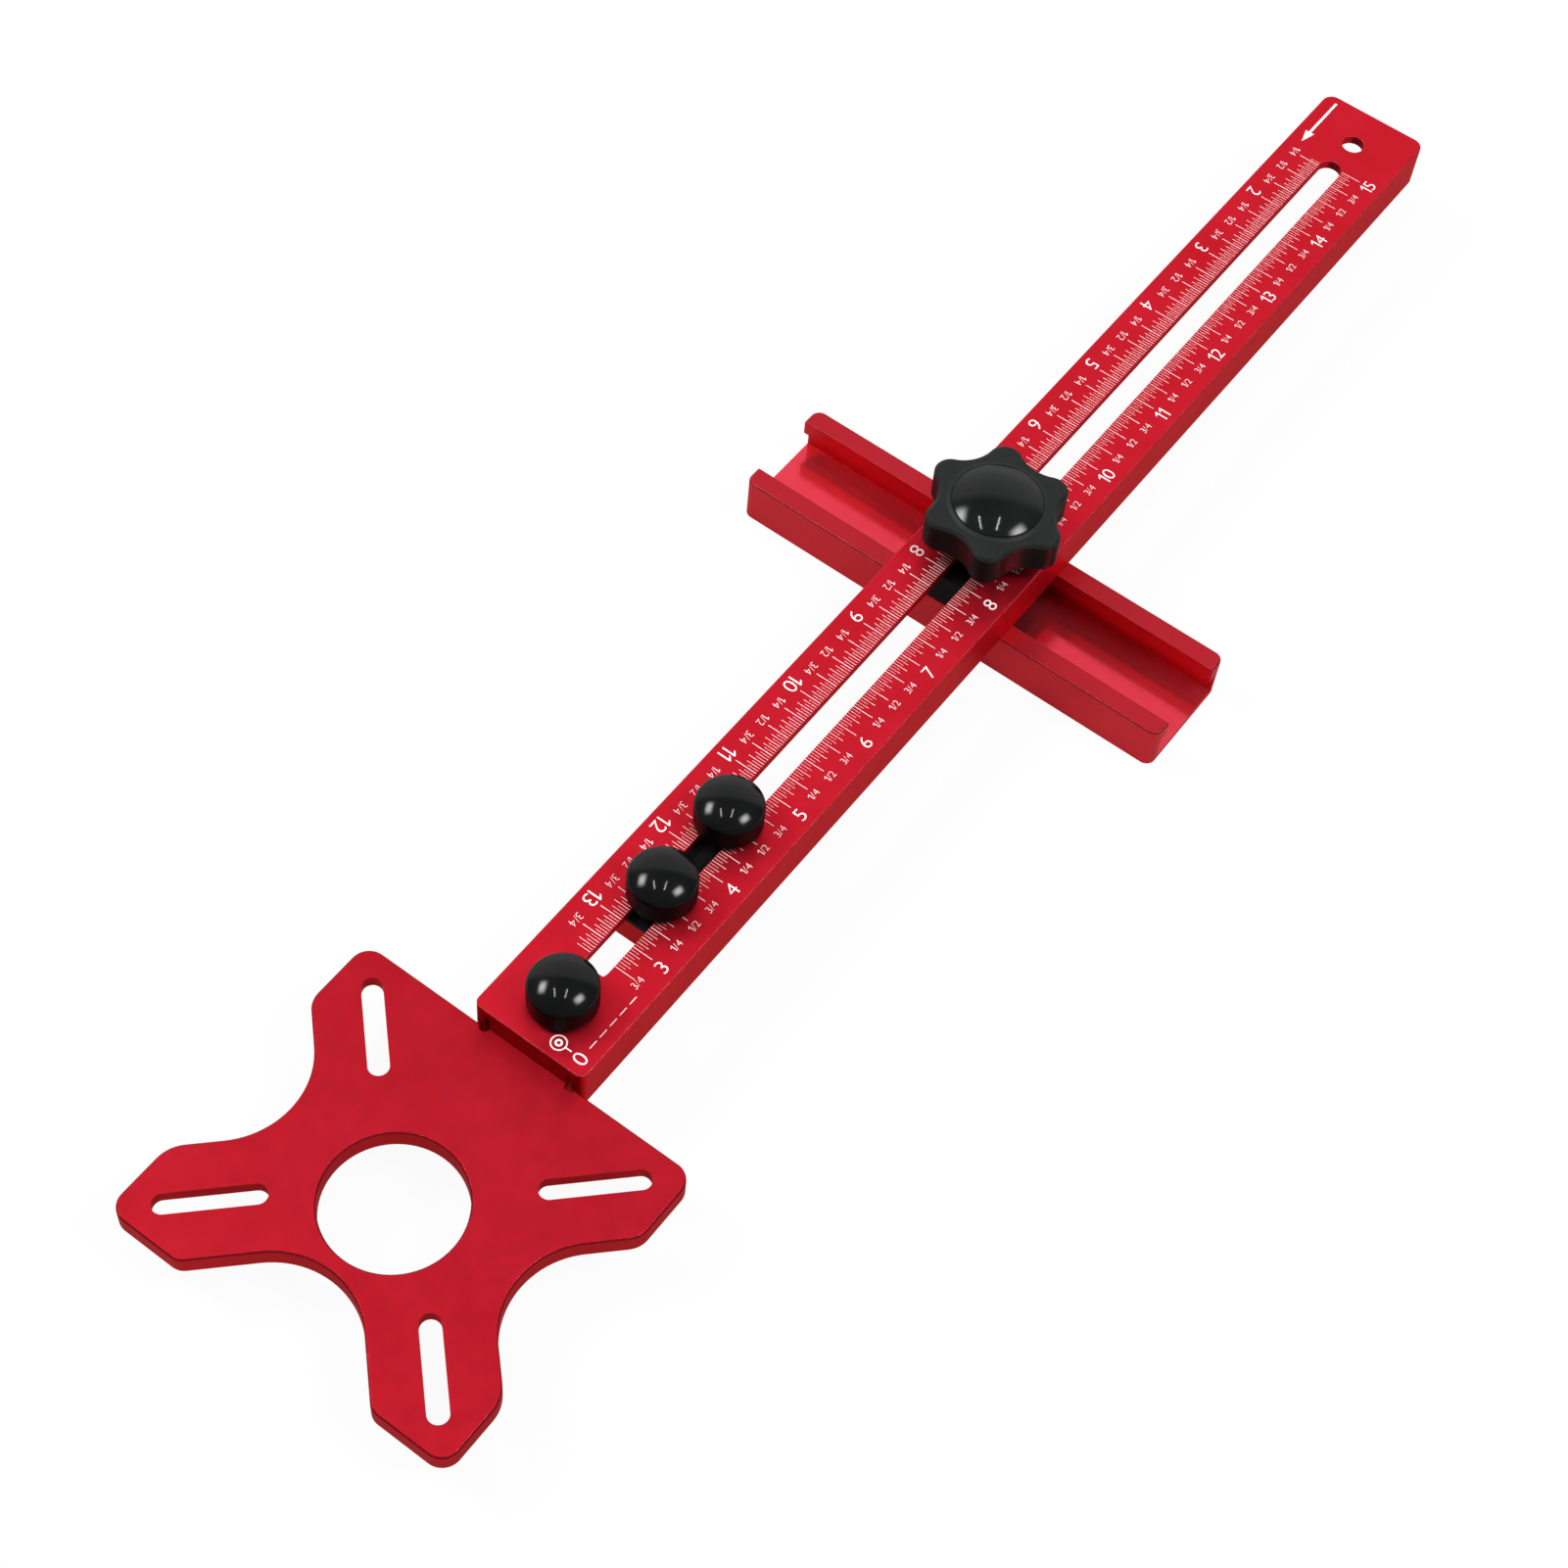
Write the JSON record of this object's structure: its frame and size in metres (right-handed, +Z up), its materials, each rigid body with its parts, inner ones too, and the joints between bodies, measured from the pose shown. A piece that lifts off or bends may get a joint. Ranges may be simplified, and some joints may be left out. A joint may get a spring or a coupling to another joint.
{
  "type": "router cutting jig",
  "caption": "Router jig: a slotted ruler beam with an open-armed base plate, a sliding pivot block and a sliding edge guide, each clamped by black knobs.",
  "frame": {"origin": "centre of the base plate's spindle hole, on the plate's underside", "axes": "+X along the ruler beam away from the plate, +Z up out of the plate's top, +Y to the left of +X"},
  "size_m": [0.4412, 0.1214, 0.0425],
  "materials": {
    "red_anodised": "satin red anodising",
    "black_gloss": "polished black moulding",
    "black_satin": "satin black moulding",
    "black_nylon": "matt black nylon",
    "zinc_steel": "zinc-plated steel",
    "brass": "turned brass",
    "white_marking": "white printing of the two scales"
  },
  "bodies": {
    "beam_body": {"base_plate": "red_anodised", "ruler_beam": "red_anodised", "base_knob_washer": "zinc_steel"},
    "base_knob_body": {"base_knob": "black_gloss", "base_knob_stud": "zinc_steel"},
    "pivot_carriage": {"pivot_block": "red_anodised", "pivot_pad": "black_nylon", "pivot_pin": "zinc_steel", "pivot_knob_front_washer": "zinc_steel", "pivot_knob_rear_washer": "zinc_steel"},
    "front_knob_body": {"pivot_knob_front": "black_gloss", "pivot_knob_front_stud": "zinc_steel"},
    "rear_knob_body": {"pivot_knob_rear": "black_gloss", "pivot_knob_rear_stud": "zinc_steel"},
    "guide_carriage": {"guide_spacer": "black_nylon", "guide_slider": "black_nylon", "guide_bolt": "zinc_steel", "guide_washer": "zinc_steel"},
    "star_knob_body": {"star_knob": "black_satin", "star_knob_insert": "brass", "star_knob_cap": "black_gloss"},
    "guide_rail_body": {"edge_guide": "red_anodised"}
  },
  "joints": [
    {"name": "base_knob_turn", "type": "hinge", "parent": "beam_body", "child": "base_knob_body", "pos_m": [0.05575, 0, 0.018], "axis": [0, 0, 1], "continuous": true},
    {"name": "pivot_travel", "type": "slide", "parent": "beam_body", "child": "pivot_carriage", "axis": [1, 0, 0], "range_m": [-0.0146, 0.032]},
    {"name": "front_knob_turn", "type": "hinge", "parent": "pivot_carriage", "child": "front_knob_body", "pos_m": [0.0903, 0, 0.018], "axis": [0, 0, 1], "continuous": true},
    {"name": "rear_knob_turn", "type": "hinge", "parent": "pivot_carriage", "child": "rear_knob_body", "pos_m": [0.1145, 0, 0.018], "axis": [0, 0, 1], "continuous": true},
    {"name": "guide_travel", "type": "slide", "parent": "beam_body", "child": "guide_carriage", "axis": [1, 0, 0], "range_m": [-0.044, 0.159]},
    {"name": "star_knob_turn", "type": "hinge", "parent": "guide_carriage", "child": "star_knob_body", "pos_m": [0.2188, 0, 0.02], "axis": [0, 0, 1], "continuous": true},
    {"name": "guide_shift", "type": "slide", "parent": "guide_carriage", "child": "guide_rail_body", "axis": [0, 1, 0], "range_m": [-0.0514, 0.05]}
  ]
}
